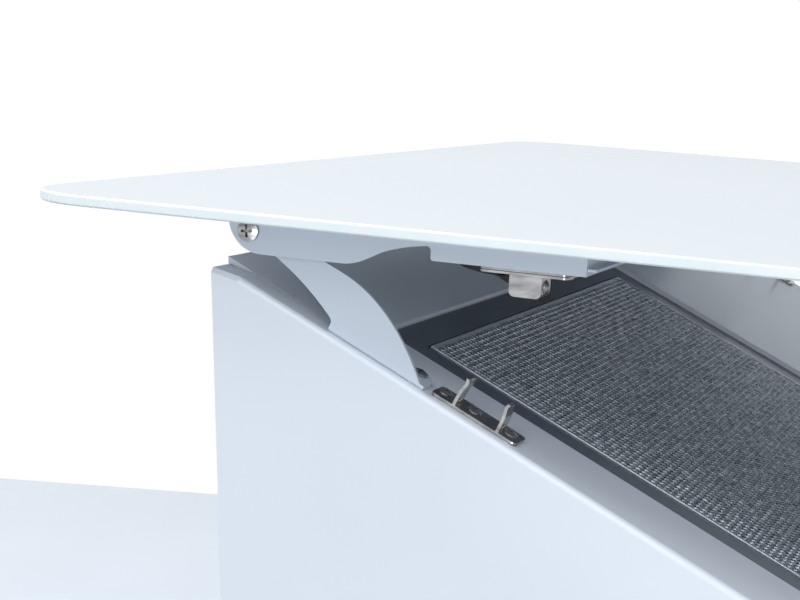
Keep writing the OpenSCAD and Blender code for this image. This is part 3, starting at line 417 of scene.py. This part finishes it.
tree, place = start("screen_printed_enamel")
weave = add_node(tree, "ShaderNodeTexNoise",
                 {"Vector": place, "Scale": 1000 / WEAVE_MM, "Detail": 1.0})
raised = add_node(tree, "ShaderNodeBump", {"Height": weave.outputs["Fac"], "Strength": 0.2,
                                           "Distance": 0.02 * MM})
shader = add_node(tree, "ShaderNodeBsdfPrincipled", {
    "Base Color": drift(tree, place, "#dde3e9", "#e4e9ee", 60), "Roughness": 0.52, "IOR": 1.5,
    "Normal": raised.outputs[0]})
add_node(tree, "ShaderNodeOutputMaterial", {"Surface": shader.outputs[0]})

tree, place = start("ground_glass_edge")
wheel = add_node(tree, "ShaderNodeTexNoise",
                 {"Vector": place, "Scale": 1000 / WHEEL_MM, "Detail": 2.0})
raised = add_node(tree, "ShaderNodeBump", {"Height": wheel.outputs["Fac"], "Strength": 0.2,
                                           "Distance": 0.03 * MM})
shader = add_node(tree, "ShaderNodeBsdfPrincipled", {
    "Base Color": drift(tree, place, "#e6f3f4", "#eff8f8", 25), "Roughness": 0.22, "IOR": 1.52,
    "Normal": raised.outputs[0], "Subsurface Weight": 0.25, "Subsurface Scale": 0.003})
add_node(tree, "ShaderNodeOutputMaterial", {"Surface": shader.outputs[0]})

# %% [markdown]
# ## Expanded aluminium foil
# The filter's strands were slit and pulled open, so each one is bright bare metal
# with a slightly different pull. Their colour drifts over 3 mm, about one diamond,
# and the roughness stays low enough for the knots to sparkle.

# %% Foil
PULL_MM = 3.0
tree, place = start("expanded_aluminium_foil")
pull = add_node(tree, "ShaderNodeTexNoise",
                {"Vector": place, "Scale": 1000 / PULL_MM, "Detail": 1.0})
pulled = add_node(tree, "ShaderNodeMapRange", {0: pull.outputs["Fac"], 1: 0.3, 2: 0.7})
metal = add_node(
    tree, "ShaderNodeMix", {0: pulled.outputs[0], 6: linear("#9aa2a9"), 7: linear("#d6dade")},
    data_type="RGBA")
satin = add_node(tree, "ShaderNodeMapRange", {0: pull.outputs["Fac"], 3: 0.18, 4: 0.36})
shader = add_node(tree, "ShaderNodeBsdfPrincipled", {
    "Base Color": metal.outputs[2], "Metallic": 1.0, "Roughness": satin.outputs[0]})
add_node(tree, "ShaderNodeOutputMaterial", {"Surface": shader.outputs[0]})
print(len(finishes), "finishes")

# %% [markdown]
# ## Which node wears what
# A node whose solid already has the right shape keeps its mesh and only changes
# its material. The list goes by finish, so each one is handed out once.

# %% Hand out the finishes
WEARERS = {
    "powder_coated_steel_white":
        "body_wrap top_panel back_panel bottom_panel chimney_lower chimney_upper",
    "powder_coated_steel_grey":
        "left_hinge_arm right_hinge_arm left_hinge_cheek right_hinge_cheek door_rail "
        "lower_frame chimney_bracket",
    "powder_coated_steel_dark": "filter_seat",
    "bright_nickel_plate":
        "left_strike right_strike left_catch right_catch left_upper_ball left_lower_ball "
        "right_upper_ball right_lower_ball strike_screws catch_screws pivot_screws "
        "pivot_nuts arm_screws left_lamp_ring right_lamp_ring",
    "rolled_aluminium_sheet":
        "filter_frame filter_mesh_front filter_mesh_back filter_latch_plate",
    "zinc_plated_steel": "motor_shaft motor_bracket motor",
    "moulded_black_abs":
        "scroll_housing inlet_ring inlet_guard impeller impeller_blades impeller_ring "
        "duct_collar left_flap right_flap cable_gland filter_latch button_block",
    "moulded_black_rubber": "door_bumpers",
    "moulded_white_abs": "control_box pivot_washers",
    "silver_lacquered_abs": "button_1 button_2 button_3 button_4 button_5",
    "opal_acrylic": "left_lamp_lens right_lamp_lens",
    "enamelled_float_glass": "door_glass lower_glass",
}
for finish, wearers in WEARERS.items():
    for node in wearers.split():
        mesh = frame["nodes"][node].data
        mesh.materials.clear()
        mesh.materials.append(finishes[finish])
bare = set(frame["nodes"]) - set(" ".join(WEARERS.values()).split())
print("nodes without a finish:", sorted(bare))

# %% [markdown]
# ## Where things lie
# Two tilted frames carry the front: the rim, which leans with the body, and the
# open glass. In both, x runs across, y up the surface and z out of it, so a piece
# can be drawn flat in millimetres and then laid in its place.

# %% Frames of the rim and the open glass
RIM_LEAN, GLASS_LEAN, RIM_DROP = 29.2, 4.8, 17.2


def leaning(degrees, drop):
    """Leaning frame through the hinge axis, its surface a drop in mm behind the axis."""
    return (Matrix.Translation((0, hinge_y, hinge_z))
            @ Matrix.Rotation(math.radians(90 + degrees), 4, "X")
            @ Matrix.Translation((0, 0, -drop * MM)) @ Matrix.Scale(MM, 4))


on_rim, on_glass = leaning(RIM_LEAN, RIM_DROP), leaning(GLASS_LEAN, 0)


def piece(name, mesh, body):
    """Object that rides on a body."""
    made = bpy.data.objects.new(name, mesh)
    bpy.context.collection.objects.link(made)
    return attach(made, body)


# %% [markdown]
# ## The glass panels
# Each panel is 4 mm float glass, enamelled white on its back and with its edge
# ground to a narrow bevel on both sides. Light that runs through the glass comes
# out at the edge with a cool green tint, so face, edge and back are three finishes.
# A bmesh made from rings round the outline keeps the bevel even at the corners.

# %% Glass panels
GLASS_W, GLASS_T, EDGE_BEVEL = 600.0, 4.0, 0.6
CORNER_R, GAP_R = 30.0, 6.0


def outline(w, h, r_top, r_bottom, steps=14):
    """Points round a pane, anticlockwise from its right side, with steps at each corner."""
    corners = ((w / 2 - r_top, h / 2 - r_top, r_top, 0), (r_top - w / 2, h / 2 - r_top, r_top, 90),
               (r_bottom - w / 2, r_bottom - h / 2, r_bottom, 180),
               (w / 2 - r_bottom, r_bottom - h / 2, r_bottom, 270))
    turns = [(x, y, r, math.radians(a + 90 * i / steps))
             for x, y, r, a in corners for i in range(steps + 1)]
    return [(x + r * math.cos(a), y + r * math.sin(a)) for x, y, r, a in turns]


def pane(name, h, r_top, r_bottom, middle_y, height, body, place, holes=()):
    """Bevelled panel, its middle at middle_y, its back at a height; holes are (x, radius)."""
    work = bmesh.new()

    def round_hole(x, r):
        return [(x + r * math.cos(math.radians(a)), r * math.sin(math.radians(a)))
                for a in range(360, 0, -9)]

    levels = ((height, EDGE_BEVEL), (height + EDGE_BEVEL, 0), (height + GLASS_T - EDGE_BEVEL, 0),
              (height + GLASS_T, EDGE_BEVEL))
    loops = [[outline(GLASS_W - 2 * b, h - 2 * b, r_top - b, r_bottom - b) for _, b in levels]]
    loops += [[round_hole(x, r + b / 2) for _, b in levels] for x, r in holes]
    rims = {0: [], 3: []}
    for loop in loops:
        rings = [[work.verts.new((x, y + middle_y, z)) for x, y in points]
                 for points, (z, _) in zip(loop, levels)]
        for low, high in zip(rings, rings[1:]):
            for i in range(len(low)):
                work.faces.new((low[i - 1], low[i], high[i], high[i - 1])).material_index = 1
        for level in rims:
            rims[level] += [work.edges.get((rings[level][i - 1], rings[level][i]))
                            for i in range(len(rings[level]))]
    for level, finish in ((0, 2), (3, 0)):
        for part in bmesh.ops.triangle_fill(work, use_beauty=True, edges=rims[level])["geom"]:
            if isinstance(part, bmesh.types.BMFace):
                part.material_index = finish
    work.transform(place)
    bmesh.ops.recalc_face_normals(work, faces=work.faces)
    mesh = bpy.data.meshes.new(name)
    work.to_mesh(mesh)
    work.free()
    for finish in ("enamelled_float_glass", "ground_glass_edge", "screen_printed_enamel"):
        mesh.materials.append(finishes[finish])
    print(name, len(mesh.polygons), "faces")
    return piece(name, mesh, body)


DOOR_H, DOOR_RISE, DOOR_AHEAD = 461.0, 89.0, 4.6
LOWER_S, LOWER_H, LOWER_UP = 376.0, 73.0, 21.8
BUTTON_PITCH, BUTTON_HOLE_R = 26.0, 7.2
button_holes = [(BUTTON_PITCH * i, BUTTON_HOLE_R) for i in range(-2, 3)]
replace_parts(pane("door_pane", DOOR_H, CORNER_R, GAP_R, DOOR_RISE - DOOR_H / 2, DOOR_AHEAD,
                 "door", on_glass), "door_glass")
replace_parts(pane("lower_pane", LOWER_H, GAP_R, CORNER_R, -(LOWER_S + LOWER_H / 2), LOWER_UP,
                 "hood", on_rim, button_holes), "lower_glass")


# %% [markdown]
# ## The grease filter's mesh
# The cassette holds layers of expanded aluminium: a foil is slit and pulled until
# the slits open into diamonds. Each strand zigzags and meets its neighbours at the
# knots. A three-sided ribbon per strand, with a little seeded unevenness, gives the
# sparkle that a bump map can't, because every strand catches light at its own angle.
# Under the front layer lies a coarser one, turned by a right angle, which fills the
# openings. Both leave a pocket free for the latch plate.

# %% Expanded metal
POCKET = (-117.5, -364.2, -62.5, -346.2)  # left, bottom, right and top of the latch plate, in mm


def expanded(name, corner, size, top, cell, strand, uneven, seed, turned=False):
    """Layer of expanded foil, in mm: cell is a diamond's width and height, strand a strand's
    width and thickness, uneven the spread of its heights; turned runs the strands along y."""
    rng = np.random.default_rng(seed)
    across, along = (size[1], size[0]) if turned else size
    half, step = cell[0] / 2, cell[1] / 2
    points, rows = int(across / half) + 1, int(along / step) + 1
    u = np.linspace(0, across, points)
    zig = (np.arange(points) % 2).astype(float)
    verts, faces, start_at = [], [], 0
    for k in range(rows):
        v = step * (k - 0.5 + (zig if k % 2 else 1 - zig)) + rng.normal(0, 0.4 * uneven, points)
        v = np.clip(v, strand[0] / 2, along - strand[0] / 2)
        z = top - strand[1] / 2 + rng.normal(0, uneven, points)
        lean = (0.45 if k % 2 else -0.45) + rng.normal(0, 2.5 * uneven, points)
        ribbon = np.zeros((points, 3, 3))  # point, corner of the ribbon's section, x y z
        for i, (dv, dz) in enumerate(((-0.5, -0.45), (0.5, -0.15), (0.05, 0.5))):
            a, b = dv * strand[0], dz * strand[1]
            ribbon[:, i, 0] = u
            ribbon[:, i, 1] = v + a * np.cos(lean) - b * np.sin(lean)
            ribbon[:, i, 2] = z + a * np.sin(lean) + b * np.cos(lean)
        if turned:
            ribbon = ribbon[:, :, [1, 0, 2]]
        ribbon[:, :, 0] += corner[0]
        ribbon[:, :, 1] += corner[1]
        x, y = ribbon[:, :, 0].mean(axis=1), ribbon[:, :, 1].mean(axis=1)
        open_here = (x < POCKET[0]) | (x > POCKET[2]) | (y < POCKET[1]) | (y > POCKET[3])
        for run in np.split(np.arange(points), np.flatnonzero(np.diff(open_here.astype(int))) + 1):
            if not open_here[run[0]] or len(run) < 2:
                continue
            verts.append(ribbon[run].reshape(-1, 3))
            first = start_at + np.arange(len(run) - 1) * 3
            for a, b in ((0, 1), (1, 2), (2, 0)):
                faces += np.stack([first + a, first + b, first + b + 3, first + a + 3],
                                  axis=1).tolist()
            last = start_at + (len(run) - 1) * 3
            faces += [[start_at + 2, start_at + 1, start_at], [last, last + 1, last + 2]]
            start_at += len(run) * 3
    mesh = bpy.data.meshes.new(name)
    mesh.from_pydata(np.concatenate(verts).tolist(), [], faces)
    mesh.transform(on_rim)
    mesh.materials.append(finishes["expanded_aluminium_foil"])
    print(name, rows, "strands,", len(faces), "faces")
    return piece(name, mesh, "hood")


FILTER_X, FILTER_S, FILTER_W, FILTER_H, FILTER_TOP = -90.0, 64.7, 267.5, 305.5, -1.4
FOIL_IN, FRONT_UNDER, MIDDLE_UNDER = 1.3, 0.15, 2.2
foil_corner = (FILTER_X - FILTER_W / 2 + FOIL_IN, -(FILTER_S + FILTER_H) + FOIL_IN)
foil_size = (FILTER_W - 2 * FOIL_IN, FILTER_H - 2 * FOIL_IN)
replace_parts(expanded("filter_foil_front", foil_corner, foil_size, FILTER_TOP - FRONT_UNDER,
                     (3.6, 2.6), (0.8, 0.42), 0.012, 3), "filter_mesh_front")
expanded("filter_foil_middle", foil_corner, foil_size, FILTER_TOP - MIDDLE_UNDER,
         (5.0, 4.2), (1.0, 0.5), 0.03, 5, True)

# %% [markdown]
# ## Edges of sheet and pressings
# Real sheet metal is never razor sharp. Welding the solid's points and adding a
# narrow bevel gives each edge the thin bright line that the photograph shows.

# %% Soft edges
EDGE_WIDTHS = {
    0.3: "left_hinge_arm right_hinge_arm left_hinge_cheek right_hinge_cheek door_rail",
    0.2: "left_strike right_strike left_catch right_catch filter_frame filter_latch_plate",
    0.5: "lower_frame button_block door_bumpers filter_latch",
}
WELD_M, SHARPEST_KEPT = 1e-6, math.radians(35)
for width, nodes in EDGE_WIDTHS.items():
    for node in nodes.split():
        holder = frame["nodes"][node]
        holder.modifiers.new("weld", "WELD").merge_threshold = WELD_M
        bevel = holder.modifiers.new("bevel", "BEVEL")
        bevel.width, bevel.segments, bevel.limit_method = width * MM, 2, "ANGLE"
        bevel.angle_limit = SHARPEST_KEPT
print("softened", sum(len(nodes.split()) for nodes in EDGE_WIDTHS.values()), "nodes")
